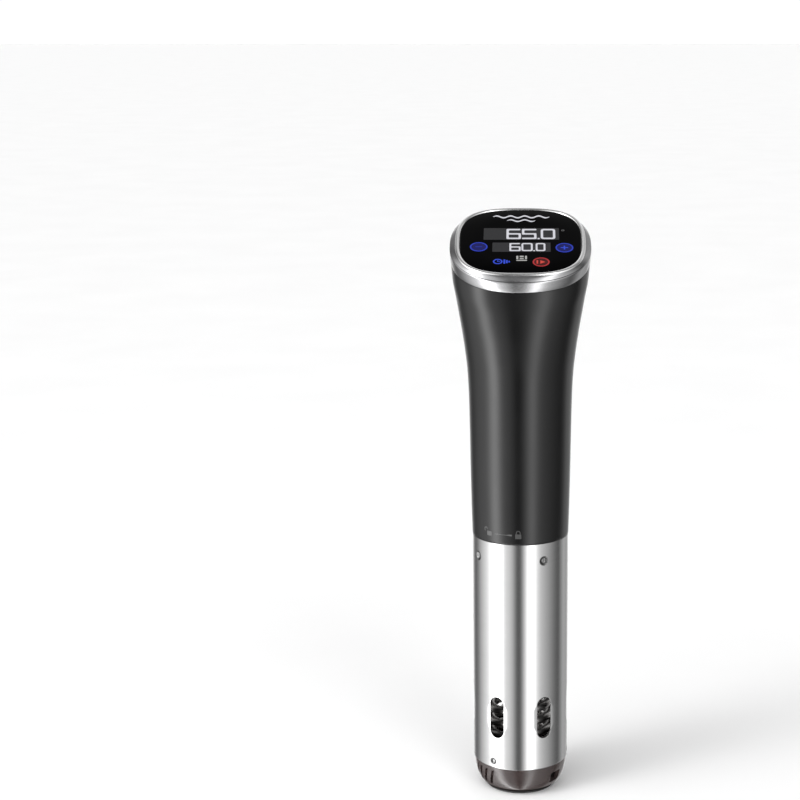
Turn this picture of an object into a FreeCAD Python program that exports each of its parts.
import FreeCAD, Part
import Sketcher
import math
import os

V = FreeCAD.Vector
Rot = FreeCAD.Rotation
Pl = FreeCAD.Placement

doc = FreeCAD.newDocument("SousVideCirculator")

# ---------------------------------------------------------------------------
# Driving dimensions, millimetres and degrees.  Origin: centre of the foot.
# +Z runs up the tube, -Y is the display side, azimuths are counted from -Y
# towards +X.
# ---------------------------------------------------------------------------
DIMS = [
    # steel sleeve
    ("tube_r", 30.0), ("tube_t", 0.8), ("tube_z0", 19.0), ("tube_z1", 167.0),
    ("slot_r", 5.0), ("slot_z0", 39.3), ("slot_z1", 66.6), ("slot_az", 30.0), ("slot_n", 6.0),
    ("lug_z", 156.0), ("lug_az", 29.0), ("lug_n", 4.0), ("lug_r", 3.0), ("lug_tip", 27.6),
    ("clug_z", 23.2), ("clug_az", -35.0), ("clug_n", 3.0), ("clug_r", 2.3), ("clug_tip", 28.1),
    ("twist_deg", 36.0), ("captwist_deg", 20.0),
    # bulkhead between handle and sleeve
    ("spig_r", 28.9), ("spig_in", 25.0), ("spig_z0", 140.0), ("shoulder_z", 167.3),
    ("bulk_r", 27.8), ("bulk_z1", 174.0), ("hub_r", 10.0), ("hub_z0", 150.0),
    ("bayo_r", 26.7), ("bayo_dz", 3.8),
    ("brg_r", 6.5), ("brg_z0", 168.5), ("brg_len", 5.0), ("seal_z0", 164.0), ("seal_len", 4.0),
    ("stub_r", 6.0), ("stub_in", 4.4), ("stub_z0", 62.0), ("stub_z1", 160.0),
    ("post_rad", 22.0), ("post_r", 3.0), ("boss_rad", 22.0), ("boss_r", 3.2), ("boss_z1", 186.0),
    # drive line
    ("shaft_r", 2.0), ("shaft_z0", 6.6), ("shaft_z1", 214.0), ("run_gap", 0.05),
    ("coup_r", 6.0), ("coup_z0", 204.0), ("coup_z1", 224.0),
    ("bush_z0", 62.0), ("bush_z1", 71.0),
    ("imp_r", 15.5), ("imp_z0", 10.0), ("imp_z1", 21.0), ("imp_hub", 4.2), ("imp_n", 6.0), ("imp_t", 1.4),
    ("nut_z0", 6.8), ("nut_r", 3.6),
    # motor
    ("plate_z0", 228.0), ("plate_t", 3.0), ("plate_r", 26.6),
    ("can_r", 14.0), ("can_t", 1.0), ("can_z1", 271.0), ("arm_r", 11.2), ("mshaft_z0", 215.0), ("mshaft_z1", 287.0),
    ("fan_z0", 277.0), ("fan_h", 8.0), ("fan_r", 23.0), ("fan_hub", 6.0), ("fan_n", 9.0), ("fan_t", 1.2),
    # heater
    ("coil_rad", 18.0), ("coil_tube", 2.8), ("coil_pitch", 8.5), ("coil_z0", 30.0), ("coil_turns", 3.5),
    ("bend_a", 7.0), ("bend_b", 5.5), ("bend_c", 5.0), ("leg_z1", 180.0),
    ("star_z0", 62.8), ("star_t", 1.4), ("star_r", 23.5),
    ("probe_r", 2.0), ("probe_rad", 22.0), ("probe_z0", 76.0),
    ("level_r", 1.5), ("level_z0", 96.0), ("level_min_z0", 70.0),
    # power electronics
    ("pcb_y", 17.0), ("pcb_t", 1.6), ("pcb_w", 36.0), ("pcb_z0", 190.0), ("pcb_z1", 268.0),
    # pump cap and foot
    ("cap_t", 2.2), ("cap_top", 31.0), ("cap_rim", 29.3), ("foot_r", 22.6), ("foot_t", 1.7),
    # handle
    ("wall_t", 2.3), ("head_tilt", 24.0), ("head_y", 3.0), ("head_z", 341.8), ("head_n", 2.35), ("glass_n", 2.95),
    # bezel and glass, counted from the bezel's lower plane
    ("bez_a", 43.2), ("bez_h", 11.25), ("glass_a", 36.8), ("glass_w0", 9.0), ("glass_t", 1.6),
    ("pcb2_a", 35.5), ("pcb2_w0", 2.5), ("pcb2_t", 1.6),
    # cord gland
    ("gland_z", 300.0), ("gland_r", 6.4), ("gland_bore", 3.3), ("gland_fl", 8.6), ("gland_y0", 28.0), ("gland_y1", 42.5),
    # pot clip
    ("pin_y", 41.0), ("pin_z", 200.0), ("pin_r", 1.5), ("lever_w", 17.0), ("ear_t", 3.2), ("lever_t", 3.6),
]
sheet = doc.addObject("Spreadsheet::Sheet", "Params")
D = {}
for row, (alias, value) in enumerate(DIMS, start=1):
    sheet.set("A%d" % row, alias)
    sheet.set("B%d" % row, repr(float(value)))
    sheet.setAlias("B%d" % row, alias)
    D[alias] = float(value)
doc.recompute()


class Q:
    """A number together with the spreadsheet expression that gives it."""

    def __init__(self, v, t=None):
        self.v = float(v)
        self.t = t if t is not None else ("%.6f" % float(v))

    @staticmethod
    def of(o):
        return o if isinstance(o, Q) else Q(o)

    def __add__(self, o):
        o = Q.of(o)
        return Q(self.v + o.v, "(%s + %s)" % (self.t, o.t))

    __radd__ = __add__

    def __sub__(self, o):
        o = Q.of(o)
        return Q(self.v - o.v, "(%s - %s)" % (self.t, o.t))

    def __rsub__(self, o):
        return Q.of(o) - self

    def __mul__(self, o):
        o = Q.of(o)
        return Q(self.v * o.v, "(%s * %s)" % (self.t, o.t))

    __rmul__ = __mul__

    def __truediv__(self, o):
        o = Q.of(o)
        return Q(self.v / o.v, "(%s / %s)" % (self.t, o.t))

    def __neg__(self):
        return Q(-self.v, "(-1 * %s)" % self.t)


def d(name):
    return Q(D[name], "Params." + name)


NODES = {}


def node(obj, name):
    obj.Label = name
    NODES[name] = obj
    return obj


# ---------------------------------------------------------------------------
# PartDesign helpers
# ---------------------------------------------------------------------------
def make_body(name):
    b = doc.addObject("PartDesign::Body", name)
    return b


def origin_feature(body, role):
    for f in body.Origin.OriginFeatures:
        if f.Role == role:
            return f
    raise RuntimeError(role)


def sketch_on(body, name, plane, offset=None):
    sk = body.newObject("Sketcher::SketchObject", name)
    sk.AttachmentSupport = [(origin_feature(body, plane), "")]
    sk.MapMode = "FlatFace"
    if offset is not None:
        sk.AttachmentOffset = offset
    return sk


def pin_point(sk, geo, pos, qx, qy):
    """Fix a sketch point at (qx, qy) with expressions."""
    for axis, q in (("X", qx), ("Y", qy)):
        q = Q.of(q)
        if abs(q.v) < 1e-9:
            sk.addConstraint(Sketcher.Constraint("PointOnObject", geo, pos, -2 if axis == "X" else -1))
        else:
            i = sk.addConstraint(Sketcher.Constraint("Distance" + axis, -1, 1, geo, pos, q.v))
            sk.setExpression("Constraints[%d]" % i, q.t)


def polygon(sk, pts):
    """Closed outline through points given as pairs of Q or numbers."""
    pts = [(Q.of(a), Q.of(b)) for a, b in pts]
    k = len(pts)
    base = sk.GeometryCount
    for i in range(k):
        a, b = pts[i], pts[(i + 1) % k]
        sk.addGeometry(Part.LineSegment(V(a[0].v, a[1].v, 0), V(b[0].v, b[1].v, 0)), False)
    for i in range(k):
        sk.addConstraint(Sketcher.Constraint("Coincident", base + i, 2, base + (i + 1) % k, 1))
    for i in range(k):
        pin_point(sk, base + i, 1, pts[i][0], pts[i][1])


def circle(sk, cx, cy, r):
    g = sk.addGeometry(Part.Circle(V(Q.of(cx).v, Q.of(cy).v, 0), V(0, 0, 1), Q.of(r).v), False)
    pin_point(sk, g, 3, cx, cy)
    i = sk.addConstraint(Sketcher.Constraint("Radius", g, Q.of(r).v))
    sk.setExpression("Constraints[%d]" % i, Q.of(r).t)
    return g


def stadium(sk, z0, z1, r):
    """Upright slot, centred on the sketch's vertical axis."""
    z0, z1, r = Q.of(z0), Q.of(z1), Q.of(r)
    c0, c1 = z0 + r, z1 - r
    sk.addGeometry(Part.ArcOfCircle(Part.Circle(V(0, c1.v, 0), V(0, 0, 1), r.v), 0, math.pi), False)
    sk.addGeometry(Part.LineSegment(V(-r.v, c1.v, 0), V(-r.v, c0.v, 0)), False)
    sk.addGeometry(Part.ArcOfCircle(Part.Circle(V(0, c0.v, 0), V(0, 0, 1), r.v), math.pi, 2 * math.pi), False)
    sk.addGeometry(Part.LineSegment(V(r.v, c0.v, 0), V(r.v, c1.v, 0)), False)
    for a, pa, b, pb in ((0, 2, 1, 1), (1, 2, 2, 1), (2, 2, 3, 1), (3, 2, 0, 1)):
        sk.addConstraint(Sketcher.Constraint("Tangent", a, pa, b, pb))
    pin_point(sk, 0, 3, 0, c1)
    pin_point(sk, 2, 3, 0, c0)
    i = sk.addConstraint(Sketcher.Constraint("Radius", 0, r.v))
    sk.setExpression("Constraints[%d]" % i, r.t)


def revolve(body, name, pts, groove=False, angle=None, az=0.0, axis="V_Axis"):
    """Turn an (r, z) outline about the body's Z axis, from azimuth az."""
    off = Pl(V(0, 0, 0), Rot(V(0, 1, 0), az - 90.0 if angle is not None else 0.0))
    sk = sketch_on(body, name + "_profile", "XZ_Plane", off)
    polygon(sk, pts)
    f = body.newObject("PartDesign::Groove" if groove else "PartDesign::Revolution", name)
    f.Profile = sk
    f.ReferenceAxis = (sk, [axis])
    if angle is None:
        f.Angle = 360.0
    else:
        f.Midplane = True
        f.setExpression("Angle", Q.of(angle).t)
    body.Tip = f
    return f


def dish(body, name, pts, z, az, groove):
    """Turn an outline about a radial line at height z and azimuth az."""
    off = Pl(V(0, 0, Q.of(z).v), Rot(V(0, 0, 1), az - 90.0))
    sk = sketch_on(body, name + "_profile", "XY_Plane", off)
    sk.setExpression("AttachmentOffset.Base.z", Q.of(z).t)
    polygon(sk, pts)
    f = body.newObject("PartDesign::Groove" if groove else "PartDesign::Revolution", name)
    f.Profile = sk
    f.ReferenceAxis = (sk, ["H_Axis"])
    f.Angle = 360.0
    body.Tip = f
    return f


def polar(body, name, feats, count):
    p = body.newObject("PartDesign::PolarPattern", name)
    p.Originals = feats
    p.Axis = (origin_feature(body, "Z_Axis"), [""])
    p.Angle = 360.0
    p.Occurrences = int(round(Q.of(count).v))
    p.setExpression("Occurrences", Q.of(count).t)
    body.Tip = p
    return p


def pad_xy(body, name, build, z0, length, pocket=False, rot=None):
    """Extrude a sketch made by build(sketch) from height z0 by length."""
    off = Pl(V(0, 0, Q.of(z0).v), rot if rot is not None else Rot())
    sk = sketch_on(body, name + "_sketch", "XY_Plane", off)
    sk.setExpression("AttachmentOffset.Base.z", Q.of(z0).t)
    build(sk)
    f = body.newObject("PartDesign::Pocket" if pocket else "PartDesign::Pad", name)
    f.Profile = sk
    f.setExpression("Length", Q.of(length).t)
    if pocket:
        f.Reversed = True
    body.Tip = f
    return f


def radial_cut(body, name, build, az, r_from, length):
    """Cut outwards along azimuth az from radius r_from."""
    rot = Rot(V(0, 1, 0), az)
    off = Pl(rot.multVec(V(0, 0, Q.of(r_from).v)), rot)
    sk = sketch_on(body, name + "_sketch", "XZ_Plane", off)
    build(sk)
    f = body.newObject("PartDesign::Pocket", name)
    f.Profile = sk
    f.Reversed = True
    f.setExpression("Length", Q.of(length).t)
    body.Tip = f
    return f


# ---------------------------------------------------------------------------
# Part helpers
# ---------------------------------------------------------------------------
COUNT = [0]


def uid(stem):
    COUNT[0] += 1
    return "%s_%03d" % (stem, COUNT[0])


def place(o, x, y, z, rot=None):
    x, y, z = Q.of(x), Q.of(y), Q.of(z)
    o.Placement = Pl(V(x.v, y.v, z.v), rot if rot is not None else Rot())
    for k, q in (("x", x), ("y", y), ("z", z)):
        if "Params" in q.t:
            o.setExpression("Placement.Base." + k, q.t)


def cyl(r, length, x=0, y=0, z=0, rot=None, stem="cyl"):
    o = doc.addObject("Part::Cylinder", uid(stem))
    o.setExpression("Radius", Q.of(r).t)
    o.setExpression("Height", Q.of(length).t)
    place(o, x, y, z, rot)
    return o


def box(lx, ly, lz, x, y, z, rot=None, stem="box"):
    o = doc.addObject("Part::Box", uid(stem))
    o.setExpression("Length", Q.of(lx).t)
    o.setExpression("Width", Q.of(ly).t)
    o.setExpression("Height", Q.of(lz).t)
    place(o, x, y, z, rot)
    return o


def prism(sides, r, length, x, y, z, rot=None, stem="prism"):
    o = doc.addObject("Part::Prism", uid(stem))
    o.Polygon = sides
    o.setExpression("Circumradius", Q.of(r).t)
    o.setExpression("Height", Q.of(length).t)
    place(o, x, y, z, rot)
    return o


def fuse(objs, stem="fuse"):
    if len(objs) == 1:
        return objs[0]
    o = doc.addObject("Part::MultiFuse", uid(stem))
    o.Shapes = objs
    o.Refine = True
    return o


def cut(a, tools, stem="cut"):
    o = doc.addObject("Part::Cut", uid(stem))
    o.Base = a
    o.Tool = fuse(tools, "tools")
    o.Refine = True
    return o


def group(objs, stem="group"):
    o = doc.addObject("Part::Compound", uid(stem))
    o.Links = objs
    return o


def tube(r_out, r_in, length, x=0, y=0, z=0, rot=None):
    a = cyl(r_out, length, x, y, z, rot)
    b = cyl(r_in, length, x, y, z, rot)
    return cut(a, [b])


def feature(shape, name, placement=None):
    o = doc.addObject("Part::Feature", name + "_f")
    o.Shape = shape
    if placement is not None:
        o.Placement = placement
    return o


def polar_xy(rad, az):
    a = math.radians(az)
    return rad * math.sin(a), -rad * math.cos(a)


# rotation that turns +Z towards +Y, -Y, +X
TO_PY = Rot(V(1, 0, 0), -90.0)
TO_NY = Rot(V(1, 0, 0), 90.0)
TO_PX = Rot(V(0, 1, 0), 90.0)

# ===========================================================================
# Steel sleeve: thin drawn tube, inlet slots low down, pressed-in lugs that
# ride in the bayonet tracks of the bulkhead (top) and of the cap (bottom)
# ===========================================================================
R, T = d("tube_r"), d("tube_t")
b = make_body("SteelSleeve")
revolve(b, "SleeveTube", [(R - T, d("tube_z0")), (R - 0.25, d("tube_z0")), (R, d("tube_z0") + 0.25),
                          (R, d("tube_z1") - 0.25), (R - 0.25, d("tube_z1")), (R - T, d("tube_z1"))])
lt = d("lug_tip")
f = dish(b, "SleeveLug", [(lt, 0), (lt, 1.3), (lt + 0.45, 2.3), (lt + 1.1, 2.9), (R - 0.4, 3.3), (R - 0.4, 0)],
         d("lug_z"), D["lug_az"], False)
p1 = polar(b, "SleeveLugs", [f], d("lug_n"))
ct = d("clug_tip")
f = dish(b, "CapLug", [(ct, 0), (ct, 0.9), (ct + 0.4, 1.7), (ct + 0.8, 2.1), (R - 0.4, 2.5), (R - 0.4, 0)],
         d("clug_z"), D["clug_az"], False)
p2 = polar(b, "CapLugs", [f], d("clug_n"))
f = dish(b, "SleeveDish", [(lt + 0.8, 0), (lt + 0.8, 0.8), (lt + 1.1, 1.6), (lt + 1.6, 2.2), (R - 0.35, 2.75), (R + 0.5, 3.1), (R + 1, 3.1), (R + 1, 0)],
         d("lug_z"), D["lug_az"], True)
p3 = polar(b, "SleeveDishes", [f], d("lug_n"))
f = dish(b, "CapDish", [(ct + 0.7, 0), (ct + 0.7, 0.7), (ct + 1.0, 1.3), (ct + 1.4, 1.75), (R - 0.2, 2.1), (R + 0.5, 2.35), (R + 1, 2.35), (R + 1, 0)],
         d("clug_z"), D["clug_az"], True)
p4 = polar(b, "CapDishes", [f], d("clug_n"))
f = radial_cut(b, "InletSlot", lambda sk: stadium(sk, d("slot_z0"), d("slot_z1"), d("slot_r")), D["slot_az"], 24, 12)
p5 = polar(b, "InletSlots", [f], d("slot_n"))
node(b, "steel_sleeve")

# ===========================================================================
# Bulkhead: closes the handle, carries the bayonet tracks, the top bearing,
# the seal, and the posts under the motor
# ===========================================================================
S = d("spig_r")
b = make_body("Bulkhead")
revolve(b, "BulkheadShell", [
    (d("stub_r") + 0.02, d("hub_z0")), (d("hub_r"), d("hub_z0")), (d("hub_r"), d("shoulder_z") - 3.2),
    (d("spig_in"), d("shoulder_z") - 3.2), (d("spig_in"), d("spig_z0")), (S - 0.5, d("spig_z0")), (S, d("spig_z0") + 0.6),
    (S, 162.0), (S - 1.9, 162.0), (S - 1.9, 164.6), (S, 164.6),
    (S, d("shoulder_z")), (d("bulk_r"), d("shoulder_z")), (d("bulk_r"), d("bulk_z1")),
    (d("brg_r") + 0.02, d("bulk_z1")), (d("brg_r") + 0.02, d("seal_z0")),
    (d("shaft_r") + 0.7, d("seal_z0")), (d("shaft_r") + 0.7, d("stub_z1")),
    (d("stub_r") + 0.02, d("stub_z1"))])
bz, bd = d("lug_z"), d("bayo_dz")
f1 = revolve(b, "BayonetTrack", [(d("bayo_r"), bz - bd), (S + 1, bz - bd), (S + 1, bz + bd), (d("bayo_r"), bz + bd)],
             groove=True, angle=d("twist_deg") + 15, az=D["lug_az"] - D["twist_deg"] / 2)
f2 = revolve(b, "BayonetEntry", [(d("bayo_r"), d("spig_z0") - 1), (S + 1, d("spig_z0") - 1), (S + 1, bz + bd), (d("bayo_r"), bz + bd)],
             groove=True, angle=15, az=D["lug_az"] - D["twist_deg"])
polar(b, "BayonetTracks", [f1, f2], d("lug_n"))


def three_posts(sk):
    for az in (0, 120, 240):
        x, y = polar_xy(1.0, az)
        circle(sk, d("post_rad") * x if abs(x) > 1e-9 else 0, d("post_rad") * y, d("post_r"))


pad_xy(b, "MotorPosts", three_posts, d("bulk_z1"), d("plate_z0") - d("bulk_z1"))


def boss_holes(sk, r=1.6):
    for az in (60, 180, 300):
        x, y = polar_xy(1.0, az)
        circle(sk, d("boss_rad") * x if abs(x) > 1e-9 else 0, d("boss_rad") * y, r)


pad_xy(b, "ScrewHoles", boss_holes, d("spig_z0"), d("bulk_z1") - d("spig_z0"), pocket=True)

LEG_A = 250.0     # azimuth of the outer heater leg
LEG_B = 70.0      # azimuth of the inner heater leg


def leg_xy(which):
    """Axis of each heater leg, from the coil's radius and its end bends."""
    a = math.radians(LEG_A if which == "a" else LEG_B)
    t = (math.cos(a), math.sin(a))
    o = (math.sin(a), -math.cos(a))
    if which == "a":
        return d("coil_rad") * o[0] + d("bend_a") * t[0], d("coil_rad") * o[1] + d("bend_a") * t[1]
    r_in = d("coil_rad") - d("bend_b") - d("bend_c")
    return r_in * o[0] - d("bend_b") * t[0], r_in * o[1] - d("bend_b") * t[1]


def leg_holes(sk):
    for which in ("a", "b"):
        x, y = leg_xy(which)
        circle(sk, x, y, d("coil_tube") + 0.03)


PROBES = [(150.0, "probe_r"), (210.0, "level_r"), (330.0, "level_r")]


def probe_holes(sk):
    for az, _ in PROBES:
        x, y = polar_xy(1.0, az)
        circle(sk, d("probe_rad") * x, d("probe_rad") * y, 3.4)


pad_xy(b, "HeaterHoles", leg_holes, d("spig_z0"), 40, pocket=True)
pad_xy(b, "ProbeHoles", probe_holes, d("spig_z0"), 40, pocket=True)
PT = (0.35, 5.2)
pad_xy(b, "PostPilots", lambda sk: [circle(sk, d("post_rad") * polar_xy(1.0, a)[0] if abs(polar_xy(1.0, a)[0]) > 1e-9 else 0,
                                           d("post_rad") * polar_xy(1.0, a)[1], 1.25) for a in (0, 120, 240)],
       d("plate_z0") - 10, 12, pocket=True)
node(b, "bulkhead")

# O-ring seated in the spigot's groove
ring = doc.addObject("Part::Torus", "OringTorus")
ring.setExpression("Radius1", (S - 0.83).t)
ring.setExpression("Radius2", "1.0")
place(ring, 0, 0, 163.3)
node(ring, "sleeve_o_ring")

# three screws that pull the bulkhead up against the handle's bosses
sc = []
for az in (60, 180, 300):
    x, y = polar_xy(1.0, az)
    head = cyl(2.6, 2.2, d("boss_rad") * x, d("boss_rad") * y, d("shoulder_z") - 5.4)
    stem = cyl(1.4, 19.0, d("boss_rad") * x, d("boss_rad") * y, d("shoulder_z") - 3.2)
    hexa = prism(6, 1.3, 1.3, d("boss_rad") * x, d("boss_rad") * y, d("shoulder_z") - 5.5)
    sc.append(cut(fuse([head, stem]), [hexa]))
node(group(sc), "bulkhead_screws")

# ===========================================================================
# Drive line
# ===========================================================================
G = d("run_gap")
node(tube(d("stub_r"), d("stub_in"), d("stub_z1") - d("stub_z0"), z=d("stub_z0")), "shaft_tube")
node(tube(d("stub_in") - 0.02, d("shaft_r") + G, d("bush_z1") - d("bush_z0"), z=d("bush_z0")), "lower_bush")
node(tube(d("brg_r"), d("shaft_r") + G, d("brg_len"), z=d("brg_z0")), "upper_bearing")
b = make_body("ShaftSeal")
revolve(b, "SealLip", [(d("shaft_r") + G, d("seal_z0") + 0.2), (d("shaft_r") + 1.0, d("seal_z0") + 1.2), (d("brg_r") - 1.0, d("seal_z0") + 1.2),
                       (d("brg_r") - 1.0, d("seal_z0")), (d("brg_r"), d("seal_z0")), (d("brg_r"), d("seal_z0") + d("seal_len")),
                       (d("shaft_r") + 1.4, d("seal_z0") + d("seal_len")), (d("shaft_r") + 1.4, d("seal_z0") + 2.0), (d("shaft_r") + G, d("seal_z0") + 1.0)])
node(b, "shaft_seal")
node(cyl(d("shaft_r"), d("shaft_z1") - d("shaft_z0"), z=d("shaft_z0")), "drive_shaft")
mshaft = cyl(d("shaft_r"), d("mshaft_z1") - d("mshaft_z0"), z=d("mshaft_z0"))
node(mshaft, "motor_shaft")

b = make_body("Coupling")
cr, c0, c1 = d("coup_r"), d("coup_z0"), d("coup_z1")
revolve(b, "CouplingTurned", [(d("shaft_r"), c0), (cr - 0.5, c0), (cr, c0 + 0.5), (cr, c0 + 6.5), (cr - 1.2, c0 + 6.5), (cr - 1.2, c0 + 7.7),
                              (cr, c0 + 7.7), (cr, c0 + 9.4), (cr - 1.2, c0 + 9.4), (cr - 1.2, c0 + 10.6), (cr, c0 + 10.6),
                              (cr, c0 + 12.3), (cr - 1.2, c0 + 12.3), (cr - 1.2, c0 + 13.5), (cr, c0 + 13.5),
                              (cr, c1 - 0.5), (cr - 0.5, c1), (d("shaft_r"), c1)])
node(b, "shaft_coupling")
gs = []
for zz in (c0 + 3.2, c1 - 3.2):
    gs.append(cyl(1.0, 3.4, 0, -(d("shaft_r") + 0.6), zz, TO_NY))
node(group(gs), "coupling_grub_screws")
# threaded seats for the two grub screws
seats = [cyl(1.0, 8.0, 0, -(d("shaft_r") + 0.6), zz, TO_NY) for zz in (c0 + 3.2, c1 - 3.2)]
coupler = cut(NODES["shaft_coupling"], seats)
NODES["shaft_coupling"].Label = "coupling_blank"
node(coupler, "shaft_coupling")

# impeller: hub, back disc, straight vanes
b = make_body("Impeller")
revolve(b, "ImpellerHub", [(d("shaft_r"), d("imp_z0")), (d("imp_hub"), d("imp_z0")), (d("imp_hub"), d("imp_z1") - 1.6),
                           (d("imp_r"), d("imp_z1") - 1.6), (d("imp_r"), d("imp_z1")), (d("shaft_r"), d("imp_z1"))])


def vane(sk):
    t = d("imp_t") / 2
    polygon(sk, [(d("imp_hub") - 0.6, -t), (d("imp_r") - 0.8, -t + 2.4), (d("imp_r") - 0.8, t + 2.4), (d("imp_hub") - 0.6, t)])


f = pad_xy(b, "Vane", vane, d("imp_z0") + 0.8, d("imp_z1") - d("imp_z0") - 1.6)
polar(b, "Vanes", [f], d("imp_n"))
node(b, "impeller")
nut = prism(6, d("nut_r"), d("imp_z0") - d("nut_z0"), 0, 0, d("nut_z0"))
node(cut(nut, [cyl(d("shaft_r"), 10, 0, 0, d("nut_z0") - 3)]), "impeller_nut")

# motor: can, magnets, armature, plate, screws
z0, z1, mr, mt = d("plate_z0") + d("plate_t"), d("can_z1"), d("can_r"), d("can_t")
b = make_body("MotorCan")
revolve(b, "CanShell", [(d("shaft_r") + 1.0, z0), (mr, z0), (mr, z1 - 1), (mr - 1, z1), (5.0, z1), (5.0, z1 + 2.2), (d("shaft_r") + 1.0, z1 + 2.2),
                        (d("shaft_r") + 1.0, z1 - mt), (mr - mt, z1 - mt), (mr - mt, z0 + mt), (d("shaft_r") + 1.0, z0 + mt)])
pad_xy(b, "CanScrewHoles", lambda sk: [circle(sk, 8.5, 0, 1.3), circle(sk, -8.5, 0, 1.3)], z0 - 2, 4.5, pocket=True)
node(b, "motor_can")
mags = []
for az in (0, 180):
    m_out = doc.addObject("Part::Cylinder", uid("mag"))
    m_out.setExpression("Radius", (mr - mt).t)
    m_out.setExpression("Height", "26")
    m_out.Angle = 140
    place(m_out, 0, 0, z0 + 6, Rot(V(0, 0, 1), az - 70))
    m_in = cyl(d("arm_r") + 0.35, 30, 0, 0, z0 + 4)
    mags.append(cut(m_out, [m_in]))
node(group(mags), "motor_magnets")
b = make_body("Armature")
revolve(b, "ArmatureCore", [(d("shaft_r"), z0 + 5), (6.0, z0 + 5), (6.0, z0 + 8), (d("arm_r"), z0 + 8), (d("arm_r"), z0 + 28), (7.0, z0 + 28), (7.0, z0 + 34), (d("shaft_r"), z0 + 34)])
f = pad_xy(b, "ArmSlot", lambda sk: polygon(sk, [(8.0, -0.9), (d("arm_r") + 1, -0.9), (d("arm_r") + 1, 0.9), (8.0, 0.9)]), z0 + 7, 22, pocket=True)
polar(b, "ArmSlots", [f], 5)
node(b, "motor_armature")
plate = cyl(d("plate_r"), d("plate_t"), 0, 0, d("plate_z0"))
ph = [cyl(4.5, 10, 0, 0, d("plate_z0") - 2), box(70, 30, 10, -35, 16.2, d("plate_z0") - 2)]
for a in (0, 120, 240):
    x, y = polar_xy(1.0, a)
    ph.append(cyl(1.6, 10, d("post_rad") * x if abs(x) > 1e-9 else 0, d("post_rad") * y, d("plate_z0") - 2))
for sx in (-8.5, 8.5):
    ph.append(cyl(1.35, 10, sx, 0, d("plate_z0") - 2))
for a in (60, 300):
    x, y = polar_xy(17.5, a)
    ph.append(cyl(2.6, 10, x, y, d("plate_z0") - 2))
node(cut(plate, ph), "motor_plate")
sc = []
for a in (0, 120, 240):
    x, y = polar_xy(1.0, a)
    x = d("post_rad") * x if abs(x) > 1e-9 else 0
    sc.append(cut(fuse([cyl(1.2, 11, x, d("post_rad") * y, z0 - 11), cyl(2.5, 2.0, x, d("post_rad") * y, z0)]),
                  [prism(6, 1.3, 1.4, x, d("post_rad") * y, z0 + 1.2)]))
node(group(sc), "motor_plate_screws")
sc = []
for sx in (-8.5, 8.5):
    sc.append(fuse([cyl(1.2, 6.2, sx, 0, d("plate_z0") - 0.5), cyl(2.2, 1.8, sx, 0, d("plate_z0") - 1.8)]))
node(group(sc), "motor_screws")

# cooling fan on the tail of the motor shaft
b = make_body("CoolingFan")
fz, fh, fr = d("fan_z0"), d("fan_h"), d("fan_r")
revolve(b, "FanHub", [(d("shaft_r"), fz), (d("fan_hub"), fz), (d("fan_hub"), fz + fh - 1), (d("fan_hub") - 1, fz + fh), (d("shaft_r"), fz + fh)])
f = pad_xy(b, "FanBlade", lambda sk: polygon(sk, [(d("fan_hub") - 0.8, -0.6), (d("fan_r"), 3.2), (d("fan_r"), 3.2 + d("fan_t")), (d("fan_hub") - 0.8, 0.6)]),
           fz + 0.8, fh - 2.0)
polar(b, "FanBlades", [f], d("fan_n"))
node(b, "cooling_fan")

# ===========================================================================
# Tubular heater: coil with two straight legs through the bulkhead
# ===========================================================================
def coil_points(rad, z_start, pitch, half_turns, az0, x_sign=1):
    """End and middle points of half-turn arcs, each in its own tilted plane."""
    out = []
    for k in range(half_turns):
        pts = []
        for j in (0, 1, 2):
            a = az0 + x_sign * 180.0 * (k + j / 2.0)
            x, y = polar_xy(rad, a)
            pts.append(V(x, y, z_start + pitch * (k + j / 2.0) / 2.0))
        out.append(pts)
    return out


def sweep(wire, r, start, direction):
    prof = Part.Wire([Part.Circle(start, direction, r).toShape()])
    s = wire.makePipeShell([prof], True, False, 0)
    if not s.isValid() or s.ShapeType not in ("Solid", "Compound"):
        raise RuntimeError("sweep")
    return s.Solids[0] if s.ShapeType == "Compound" else s


cr_, tr_, cp_, cz_ = D["coil_rad"], D["coil_tube"], D["coil_pitch"], D["coil_z0"]
halves = int(round(D["coil_turns"] * 2))
az_start = LEG_A - 180.0 * halves
arcs = coil_points(cr_, cz_, cp_, halves, az_start)
S45, C45 = math.sin(math.radians(45)), 1 - math.cos(math.radians(45))
first, end = arcs[0][0], arcs[-1][2]
aL, aS = math.radians(LEG_A), math.radians(az_start)
tang = V(math.cos(aL), math.sin(aL), 0)
back = V(-math.cos(aS), -math.sin(aS), 0)
inward = V(-math.sin(aS), math.cos(aS), 0)
up = V(0, 0, 1)
BA, BB, BC = D["bend_a"], D["bend_b"], D["bend_c"]
top1 = end + tang * BA + up * BA
mid_a = end + tang * (BA * S45) + up * (BA * C45)
b1 = first + back * BB + inward * BB
mid_b = first + back * (BB * S45) + inward * (BB * C45)
b2 = b1 + inward * BC + up * BC
mid_c = b1 + inward * (BC * S45) + up * (BC * C45)
legtop = V(b2.x, b2.y, D["leg_z1"])
run = [Part.LineSegment(legtop, b2).toShape(), Part.Arc(b2, mid_c, b1).toShape(), Part.Arc(b1, mid_b, first).toShape()]
run += [Part.Arc(p, q, r_).toShape() for p, q, r_ in arcs]
run += [Part.Arc(end, mid_a, top1).toShape(), Part.LineSegment(top1, V(top1.x, top1.y, D["leg_z1"])).toShape()]
path = Part.Wire(run)
coil = sweep(path, tr_, legtop, up)
print("heater volume %.0f, section times length %.0f, bend radii %s" % (coil.Volume, math.pi * tr_ ** 2 * path.Length, (cr_, BA, BB, BC)))
node(feature(coil, "HeaterCoil"), "heater_coil")

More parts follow.
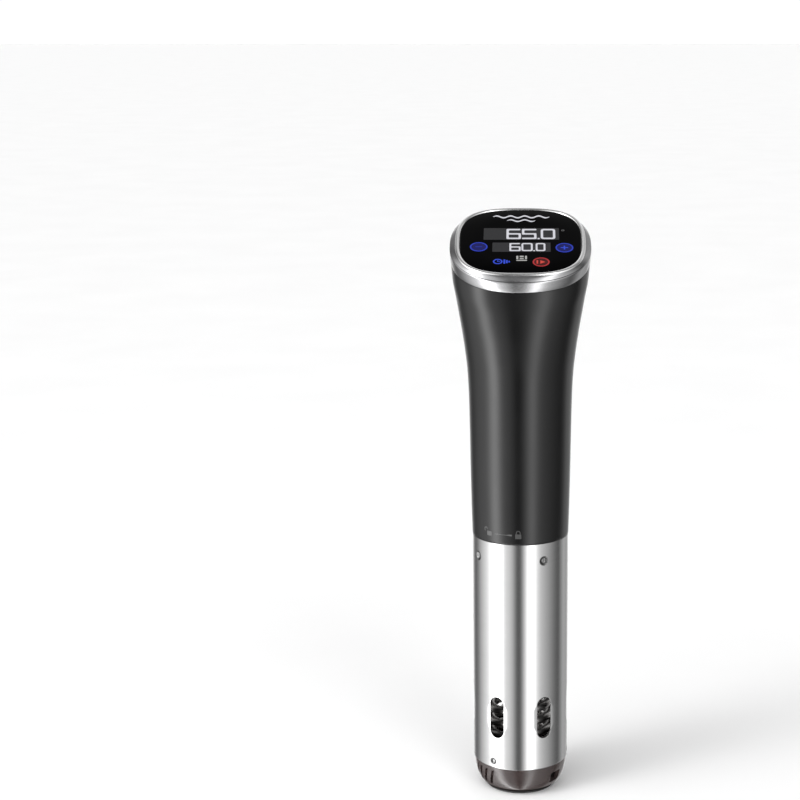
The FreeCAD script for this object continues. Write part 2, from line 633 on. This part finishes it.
# nuts that clamp the two legs above the bulkhead
nuts = []
for which in ("a", "b"):
    x, y = leg_xy(which)
    nuts.append(cut(prism(6, 4.4, 3.2, x, y, d("bulk_z1"), Rot(V(0, 0, 1), 15)), [cyl(d("coil_tube") + 0.03, 10, x, y, d("bulk_z1") - 3)]))
node(group(nuts), "heater_nuts")

# star-shaped stay on the shaft tube, above the coil
b = make_body("HeaterStay")
sz, st, sr = d("star_z0"), d("star_t"), d("star_r")
revolve(b, "StayDisc", [(d("stub_r") + 0.03, sz), (sr, sz), (sr, sz + st), (8.2, sz + st), (8.2, sz + 6), (d("stub_r") + 0.03, sz + 6)])


def stay_window(sk):
    a0, a1 = math.radians(7.0), math.radians(53.0)
    r0, r1 = 10.5, d("star_r") - 2.6
    polygon(sk, [(r0 * math.sin(a0 + 0.10), r0 * -math.cos(a0 + 0.10)), (r1 * math.sin(a0), r1 * -math.cos(a0)),
                 (r1 * math.sin((a0 + a1) / 2) * 1.03, r1 * -math.cos((a0 + a1) / 2) * 1.03),
                 (r1 * math.sin(a1), r1 * -math.cos(a1)), (r0 * math.sin(a1 - 0.10), r0 * -math.cos(a1 - 0.10))])


f = pad_xy(b, "StayWindow", stay_window, sz - 1, 4, pocket=True)
polar(b, "StayWindows", [f], 6)
stay = b
lx, ly = leg_xy("a")
lx2, ly2 = leg_xy("b")
stay = cut(b, [cyl(d("coil_tube") + 1.1, 12, lx, ly, sz - 3), cyl(d("coil_tube") + 0.25, 12, lx2, ly2, sz - 3)])
node(stay, "heater_stay")

# temperature probe and the two level probes, with their grommets
px, py = polar_xy(1.0, PROBES[0][0])
tp = cyl(d("probe_r"), d("bulk_z1") + 8 - d("probe_z0"), d("probe_rad") * px, d("probe_rad") * py, d("probe_z0"))
tip = doc.addObject("Part::Sphere", "ProbeTip")
tip.setExpression("Radius", "Params.probe_r")
place(tip, d("probe_rad") * px, d("probe_rad") * py, d("probe_z0"))
node(fuse([tp, tip]), "temperature_probe")
lv = []
for (az, _), zlow in zip(PROBES[1:], (d("level_min_z0"), d("level_z0"))):
    x, y = polar_xy(1.0, az)
    lv.append(cyl(d("level_r"), d("bulk_z1") + 8 - zlow, d("probe_rad") * x, d("probe_rad") * y, zlow))
node(group(lv), "level_probes")
gr = []
for az, rn in PROBES:
    x, y = polar_xy(1.0, az)
    x, y = d("probe_rad") * x, d("probe_rad") * y
    flange = cyl(4.4, 1.4, x, y, d("bulk_z1"))
    plug = cyl(3.38, d("bulk_z1") - d("shoulder_z") + 3.2, x, y, d("shoulder_z") - 3.2)
    gr.append(cut(fuse([flange, plug]), [cyl(d(rn), 30, x, y, d("shoulder_z") - 10)]))
node(group(gr), "probe_grommets")

# ===========================================================================
# Power electronics behind and below the motor
# ===========================================================================
py0, pt_ = d("pcb_y"), d("pcb_t")
board = box(d("pcb_w"), pt_, d("pcb_z1") - d("pcb_z0"), -(d("pcb_w") / 2), py0, d("pcb_z0"))
node(board, "power_board")
node(box(17, 9, 13, -8.5, py0 - 9, 211.5), "transformer")
node(group([cyl(4.4, 9, -10.8, py0 - 9, 200, TO_PY), cyl(4.4, 9, 10.8, py0 - 9, 200, TO_PY), box(6.2, 6, 11, -15.2, py0 - 6, 212.5)]), "capacitors")
fins = [box(26, 2, 30, -13, py0 + pt_ + 3.6, 232)]
for k in range(5):
    fins.append(box(1.2, 2.9, 30, -13 + k * 6.2, py0 + pt_ + 5.4, 232))
hs = cut(fuse(fins), [tube(60, 28.3, 60, 0, 0, 220)])
node(hs, "heat_sink")
node(box(10, 3.6, 14, -5, py0 + pt_, 240), "heater_triac")

# ===========================================================================
# Pump cap: smoked cover over the impeller, slanted louvres on one side and
# a framed jet port on the other, bayonet tracks inside the sleeve's mouth
# ===========================================================================
CT = d("cap_t")
rim = d("cap_rim")
zc = d("tube_z0") - 0.2
outer = [(rim, zc), (rim - 0.12, 16.2), (rim - 0.45, 13.4), (rim - 1.0, 10.6), (rim - 1.8, 7.9), (rim - 2.8, 5.6), (rim - 4.1, 3.4), (rim - 5.4, 2.1), (rim - 6.2, d("foot_t"))]
inner = [(0, d("foot_t") + 2.2), (rim - 9.6, d("foot_t") + 2.2), (rim - 7.0, 4.7), (rim - 5.0, 6.6), (rim - 3.7, 8.9), (rim - 3.05, 11.2), (rim - 2.65, 14.2), (rim - 2.5, zc), (26.3, 20.6), (26.3, d("cap_top"))]
b = make_body("PumpCap")
revolve(b, "CapShell", [(0, d("foot_t"))] + inner + [(S - 0.5, d("cap_top")), (S, d("cap_top") - 0.6), (S, zc)] + outer)
cz, cd_ = d("clug_z"), Q(2.9)
f1 = revolve(b, "CapTrack", [(27.65, cz - cd_), (S + 1, cz - cd_), (S + 1, cz + cd_), (27.65, cz + cd_)],
             groove=True, angle=d("captwist_deg") + 11, az=D["clug_az"] - D["captwist_deg"] / 2)
f2 = revolve(b, "CapEntry", [(27.65, cz - cd_), (S + 1, cz - cd_), (S + 1, d("cap_top") + 1), (27.65, d("cap_top") + 1)],
             groove=True, angle=11, az=D["clug_az"] - D["captwist_deg"])
polar(b, "CapTracks", [f1, f2], d("clug_n"))


def louvre(sk):
    polygon(sk, [(-1.0 - 2.2, 5.6), (1.0 - 2.2, 5.6), (1.0 + 1.2, 16.4), (-1.0 + 1.2, 16.4)])


lou = []
for k, az in enumerate((-72.0, -61.0, -50.0, -39.0)):
    lou.append(radial_cut(b, "Louvre%d" % k, louvre, az, 16, 20))
lp = polar(b, "Louvres", lou, 2)
f = radial_cut(b, "JetPort", lambda sk: polygon(sk, [(-4.6, 6.0), (4.6, 6.0), (4.6, 13.6), (-4.6, 13.6)]), 52.0, 16, 20)
polar(b, "JetPorts", [f], 2)
node(b, "pump_cap")
b = make_body("FootPad")
ft, fr_ = d("foot_t"), d("foot_r")
revolve(b, "FootDisc", [(0, 0), (fr_ - 0.9, 0), (fr_, 0.7), (fr_, ft), (0, ft)])
node(b, "foot_pad")

# ===========================================================================
# Handle shell: round at the sleeve, opening into a tilted superelliptic head
# ===========================================================================
SECT = [  # centre z, half width, superellipse exponent, tilt, centre y
    (167.3, 30.15, 2.0, 0.0, 0.0), (178.0, 30.5, 2.0, 0.0, 0.0), (205.0, 31.1, 2.0, 0.0, 0.0), (239.0, 31.65, 2.0, 0.0, 0.0),
    (257.0, 32.05, 2.0, 0.8, 0.05), (272.0, 32.85, 2.02, 3.0, 0.2), (284.0, 34.2, 2.06, 6.6, 0.5), (296.0, 35.9, 2.1, 10.8, 0.9),
    (308.0, 37.85, 2.16, 15.0, 1.4), (320.0, 39.85, 2.22, 19.0, 2.0), (331.0, 41.75, 2.29, 22.2, 2.6),
    (D["head_z"], D["bez_a"] - 0.55, D["head_n"], D["head_tilt"], D["head_y"])]


def super_wire(a, bb, n, count=48):
    pts = []
    for k in range(count):
        th = 2 * math.pi * k / count + math.pi / 2
        c, s_ = math.cos(th), math.sin(th)
        pts.append(V(a * math.copysign(abs(c) ** (2.0 / n), c), bb * math.copysign(abs(s_) ** (2.0 / n), s_), 0))
    bs = Part.BSplineCurve()
    bs.interpolate(Points=pts, PeriodicFlag=True)
    return Part.Wire([bs.toShape()])


def section(zc_, a, n, tilt, yc, w=0.0, count=48):
    wre = super_wire(a, a, n, count)
    rot = Rot(V(1, 0, 0), tilt)
    wre.Placement = Pl(V(0, yc, zc_) + rot.multVec(V(0, 0, w)), rot)
    return wre


def handle_solid(offset, w_low, w_high):
    wires = []
    for k, (zc_, a, n, tilt, yc) in enumerate(SECT):
        w = w_low if k == 0 else (w_high if k == len(SECT) - 1 else 0.0)
        wires.append(section(zc_, a - offset, n, tilt, yc, w))
    return Part.makeLoft(wires, True, False, False, 5)


h_out = handle_solid(0.0, 0.0, 0.0)
h_in = handle_solid(D["wall_t"], -1.0, 1.0)
shell = h_out.cut(h_in)
# screw bosses at the bottom, inside
core = Part.makeCylinder(D["bulk_r"] + 0.6, 30, V(0, 0, D["bulk_z1"]))
for az in (60, 180, 300):
    x, y = polar_xy(D["boss_rad"], az)
    boss = Part.makeCylinder(D["boss_r"], D["boss_z1"] - D["bulk_z1"], V(x, y, D["bulk_z1"]))
    web = Part.makeBox(9.0, 2 * D["boss_r"] - 1.0, D["boss_z1"] - D["bulk_z1"], V(0, -D["boss_r"] + 0.5, D["bulk_z1"]))
    web.Placement = Pl(V(x, y, 0), Rot(V(0, 0, 1), az - 90.0)).multiply(Pl(V(0, 0, 0), Rot()))
    web = web.common(h_out)
    # keep the web inside the outer skin
    web = web.common(Part.makeCylinder(29.2, 60, V(0, 0, 150)))
    shell = shell.fuse(boss).fuse(web)
for az in (60, 180, 300):
    x, y = polar_xy(D["boss_rad"], az)
    shell = shell.cut(Part.makeCylinder(1.45, 10.6, V(x, y, D["bulk_z1"] - 0.1)))
# vent slots at the back, level with the fan
vents = []
for k in range(5):
    zz = 268.0 + 5.6 * k
    for sx in (-1, 1):
        slot = Part.makeBox(11.0, 30, 2.2, V(sx * 9.0 - 5.5, 20, zz))
        e1 = Part.makeCylinder(1.1, 30, V(sx * 9.0 - 5.5, 20, zz + 1.1), V(0, 1, 0))
        e2 = Part.makeCylinder(1.1, 30, V(sx * 9.0 + 5.5, 20, zz + 1.1), V(0, 1, 0))
        vents += [slot, e1, e2]
shell = shell.cut(vents[0].multiFuse(vents[1:]))
# cord gland hole and clip screw holes at the back
gz = D["gland_z"] + 4.0
shell = shell.cut(Part.makeCylinder(D["gland_r"] + 0.05, 40, V(0, 20, gz), V(0, 1, 0)))
CLIP_SCREWS = [(-6.5, 184.5), (6.5, 184.5)]
for x, zz in CLIP_SCREWS:
    shell = shell.cut(Part.makeCylinder(1.3, 20, V(x, 20, zz + 0.0), V(0, 1, 0)))
shell = shell.removeSplitter()
node(feature(shell, "HandleShell"), "handle_shell")

# ===========================================================================
# Head: bezel, glass, boards, displays.  Built flat, then tilted in place.
# ===========================================================================
HEAD = Pl(V(0, D["head_y"], D["head_z"]), Rot(V(1, 0, 0), D["head_tilt"]))
HN = D["head_n"]


def flat_stack(levels, n=HN, count=48):
    wires = []
    for level in levels:
        a, w = level[:2]
        wre = super_wire(a, a, level[2] if len(level) > 2 else n, count)
        wre.Placement = Pl(V(0, 0, w), Rot())
        wires.append(wre)
    return Part.makeLoft(wires, True, True, False, 5)


BA_ = D["bez_a"]
GA = D["glass_a"] + 0.2
GN = D["glass_n"]
BH = D["bez_h"]
bez_out = flat_stack([(BA_ - 0.9, 0.0), (BA_ - 0.45, 0.35), (BA_ - 0.1, 4.2), (BA_, 7.55), (BA_ - 0.4, 7.75), (BA_ - 0.4, 8.0), (BA_ - 0.08, 8.15),
                      (BA_ - 0.3, 8.45), (BA_ - 3.5, 10.35, GN - 0.1), (GA + 2.25, 10.75, GN), (GA + 1.85, 11.1, GN), (GA + 1.3, BH, GN)])
bez_in = flat_stack([(GA, D["glass_w0"]), (GA, 10.45), (GA + 0.15, 10.8), (GA + 0.55, 11.08), (GA + 1.3, BH), (GA + 1.5, BH + 0.1)], GN)
skirt = flat_stack([(BA_ - 4.3, -3.6), (BA_ - 4.3, 0.3)])
bezel = bez_out.fuse(skirt).cut(bez_in).cut(flat_stack([(BA_ - 5.8, -6.0), (BA_ - 5.8, 7.4)])).cut(flat_stack([(GA - 2.6, 7.0), (GA - 2.6, 9.5)]))
B45 = 24.1
CORNERS = [(B45, B45), (-B45, B45), (-B45, -B45), (B45, -B45)]
for x, y in CORNERS:
    bezel = bezel.fuse(Part.makeCylinder(2.7, D["glass_w0"] - (D["pcb2_w0"] + D["pcb2_t"]), V(x, y, D["pcb2_w0"] + D["pcb2_t"])))
for x, y in CORNERS:
    bezel = bezel.cut(Part.makeCylinder(1.15, 3.0, V(x, y, D["pcb2_w0"] + D["pcb2_t"] - 0.1)))
bezel = bezel.removeSplitter()
node(feature(bezel, "BezelRing", HEAD), "bezel_ring")
glass = flat_stack([(D["glass_a"], D["glass_w0"]), (D["glass_a"], D["glass_w0"] + D["glass_t"] - 0.25), (D["glass_a"] - 0.25, D["glass_w0"] + D["glass_t"])], GN)
node(feature(glass, "DisplayGlass", HEAD), "display_glass")
pcb2 = flat_stack([(D["pcb2_a"], D["pcb2_w0"]), (D["pcb2_a"], D["pcb2_w0"] + D["pcb2_t"])])
for x, y in CORNERS:
    pcb2 = pcb2.cut(Part.makeCylinder(1.3, 6, V(x, y, 0)))
node(feature(pcb2, "ControlBoard", HEAD), "control_board")


def on_head(objs, name):
    g = group(objs)
    g.Placement = HEAD
    return node(g, name)


w1 = d("pcb2_w0") + d("pcb2_t")
on_head([box(46.1, 13.4, 4.4, -22.5, 1.4, w1)], "upper_led_display")
on_head([box(35.2, 10.4, 4.4, -17.0, -12.7, w1)], "lower_led_display")
PADS = [(-25.3, -7.2), (26.6, -8.2), (12.35, -24.6), (-11.3, -24.1)]
on_head([cyl(2.8, d("glass_w0") - w1, x, y, w1) for x, y in PADS], "touch_sense_pads")
on_head([fuse([cyl(1.1, 6.4, x, y, d("pcb2_w0") - 2.0), cyl(2.2, 1.6, x, y, d("pcb2_w0") - 1.6)]) for x, y in CORNERS], "control_board_screws")
on_head([cyl(5.5, 4.6, -14.0, 18.0, d("pcb2_w0") - 4.6)], "buzzer")

# ===========================================================================
# Cord gland at the back of the head, with its lock nut inside
# ===========================================================================
gl = Part.makeCylinder(D["gland_r"], D["gland_y1"] - D["gland_y0"] - 2.5, V(0, D["gland_y0"], gz), V(0, 1, 0))
gl = gl.fuse(Part.makeCone(D["gland_r"], D["gland_r"] - 1.2, 2.5, V(0, D["gland_y1"] - 2.5, gz), V(0, 1, 0)))
fl = Part.makeCylinder(D["gland_fl"], 12.0, V(0, 30.0, gz), V(0, 1, 0)).common(Part.makeBox(40, 8.6, 40, V(-20, 30.0, gz - 20)))
fl = fl.cut(h_out)
gl = gl.fuse(fl).cut(Part.makeCylinder(D["gland_bore"], 60, V(0, 0, gz), V(0, 1, 0)))
gl = gl.removeSplitter()
node(feature(gl, "CordGland"), "cord_gland")
gn = cut(prism(6, 8.8, 3.0, 0, 29.0, gz, TO_PY), [cyl(d("gland_r") + 0.05, 20, 0, 20, gz, TO_PY)])
node(gn, "gland_nut")

# ===========================================================================
# Pot clip at the back: bracket, lever, jaw pad, pin, spring, screws
# ===========================================================================
PY, PZ, PR = D["pin_y"], D["pin_z"], D["pin_r"]
LW, ET = D["lever_w"], D["ear_t"]
half = LW / 2 + 0.3
base = Part.makeBox(2 * (half + ET), 16.0, 30.0, V(-(half + ET), 20.0, 178.5))
base = base.common(Part.makeCylinder(35.6, 60, V(0, 0, 160)))
for sx in (-1, 1):
    x0 = half if sx > 0 else -(half + ET)
    ear = Part.makeBox(ET, PY - 20.0, 15.0, V(x0, 20.0, PZ - 7.5)).fuse(Part.makeCylinder(5.2, ET, V(x0, PY, PZ), V(1, 0, 0)))
    wedge = Part.Face(Part.makePolygon([V(x0, 25, 181), V(x0, 33, 181), V(x0, PY, PZ - 5.0), V(x0, 25, PZ - 5.0), V(x0, 25, 181)])).extrude(V(ET, 0, 0))
    base = base.fuse(ear).fuse(wedge)
base = base.cut(Part.makeCylinder(31.25, 80, V(0, 0, 150)))
base = base.cut(Part.makeCylinder(PR, 60, V(-30, PY, PZ), V(1, 0, 0)))
for x, zz in CLIP_SCREWS:
    base = base.cut(Part.makeCylinder(1.15, 6.0, V(x, 28.0, zz), V(0, 1, 0)))
# only the solid that holds the ears
base = max(base.Solids, key=lambda s_: s_.Volume) if len(base.Solids) > 1 else base
node(feature(base.removeSplitter(), "ClipBracket"), "clip_bracket")
node(cyl(d("pin_r"), 2 * (half + ET), -(half + ET), d("pin_y"), d("pin_z"), TO_PX), "clip_pin")

# lever: thumb tab above the pin, arm and jaw below
LT = D["lever_t"]
prof = [(PY - 2.0, PZ + 1), (PY - 1.4, PZ + 10), (PY + 3.2, PZ + 33), (PY + 3.6, PZ + 36), (PY + 6.0, PZ + 36), (PY + 6.4, PZ + 33),
        (PY + 2.2, PZ + 8), (PY + 2.0, PZ), (PY + 1.2, PZ - 20), (PY - 0.6, PZ - 70), (PY - 2.4, PZ - 84), (PY - 8.6, PZ - 84), (PY - 8.6, PZ - 73),
        (PY - 5.2, PZ - 69), (PY - 4.1, PZ - 62), (PY - 2.4, PZ - 18)]
face = Part.Face(Part.makePolygon([V(-LW / 2, y, z) for y, z in prof] + [V(-LW / 2, prof[0][0], prof[0][1])]))
lever = face.extrude(V(LW, 0, 0))
lever = lever.fuse(Part.makeCylinder(4.4, LW, V(-LW / 2, PY, PZ), V(1, 0, 0)))
lever = lever.cut(Part.makeCylinder(PR + 0.06, 60, V(-30, PY, PZ), V(1, 0, 0)))
lever = lever.cut(Part.makeBox(8.4, 14, 11.0, V(-4.2, PY - 7.0, PZ - 5.5)))
# thumb ridges
for k in range(4):
    zz = PZ + 16 + 4.2 * k
    yy = PY + 2.2 + (zz - PZ - 8) / 25.0 * 4.2
    lever = lever.fuse(Part.makeCylinder(0.75, LW - 3, V(-LW / 2 + 1.5, yy, zz), V(1, 0, 0)))
lever = lever.removeSplitter()
node(feature(lever, "ClipLever"), "clip_lever")
pad = Part.makeBox(LW - 2, 4.2, 9.0, V(-(LW - 2) / 2, PY - 8.6 - 4.2, PZ - 83))
pad = pad.cut(Part.makeCylinder(30.6, 40, V(0, 0, PZ - 100)))
node(feature(pad, "ClipPad"), "clip_pad")

# torsion spring round the pin
sr_, sw_, turns = 2.35, 0.45, 5
pitch = 1.15
sp = []
for k in range(turns * 2):
    tri = []
    for j in (0, 1, 2):
        a = math.radians(180.0 * (k + j / 2.0))
        tri.append(V(-pitch * turns / 2 + pitch * (k + j / 2.0) / 2.0, PY + sr_ * math.sin(a), PZ + sr_ * math.cos(a)))
    sp.append(Part.Arc(*tri).toShape())
s0 = sp[0].valueAt(sp[0].FirstParameter)
s1 = sp[-1].valueAt(sp[-1].LastParameter)
lo = Part.LineSegment(s0 - V(0, 5.4, 0), s0).toShape()
hi = Part.LineSegment(s1, s1 + V(0, 0.9, 0)).toShape()
spw = Part.Wire([lo] + sp)
spring = sweep(spw, sw_, s0 - V(0, 5.4, 0), V(0, 1, 0))
node(feature(spring, "ClipSpring"), "clip_spring")
sc = []
for x, zz in CLIP_SCREWS:
    yh = math.sqrt((D["tube_r"] - 1.8) ** 2 - 8.6 ** 2) - 2.6
    sc.append(fuse([cyl(1.1, 9.2, x, 24.4, zz, TO_PY), cyl(2.1, 1.6, x, 24.0, zz, TO_PY)]))
node(group(sc), "clip_screws")

# ---------------------------------------------------------------------------
# Checks and export
# ---------------------------------------------------------------------------
doc.recompute()
bad = []
for o in doc.Objects:
    if "Invalid" in o.State or "Error" in o.State:
        bad.append((o.Name, o.Label, o.State))
for name, o in NODES.items():
    if o.Shape.isNull() or not o.Shape.isValid() or not o.Shape.Solids:
        bad.append((name, "shape"))
if bad:
    raise RuntimeError("failed objects: %s" % bad)
os.makedirs("parts", exist_ok=True)
for name, o in NODES.items():
    shp = o.Shape
    bb = shp.BoundBox
    print("%-22s %2d solids %9.1f mm3  x %7.2f %7.2f  y %7.2f %7.2f  z %7.2f %7.2f" % (
        name, len(shp.Solids), shp.Volume, bb.XMin, bb.XMax, bb.YMin, bb.YMax, bb.ZMin, bb.ZMax))
    shp.exportStep("parts/%s.step" % name)
print(len(NODES), "nodes")
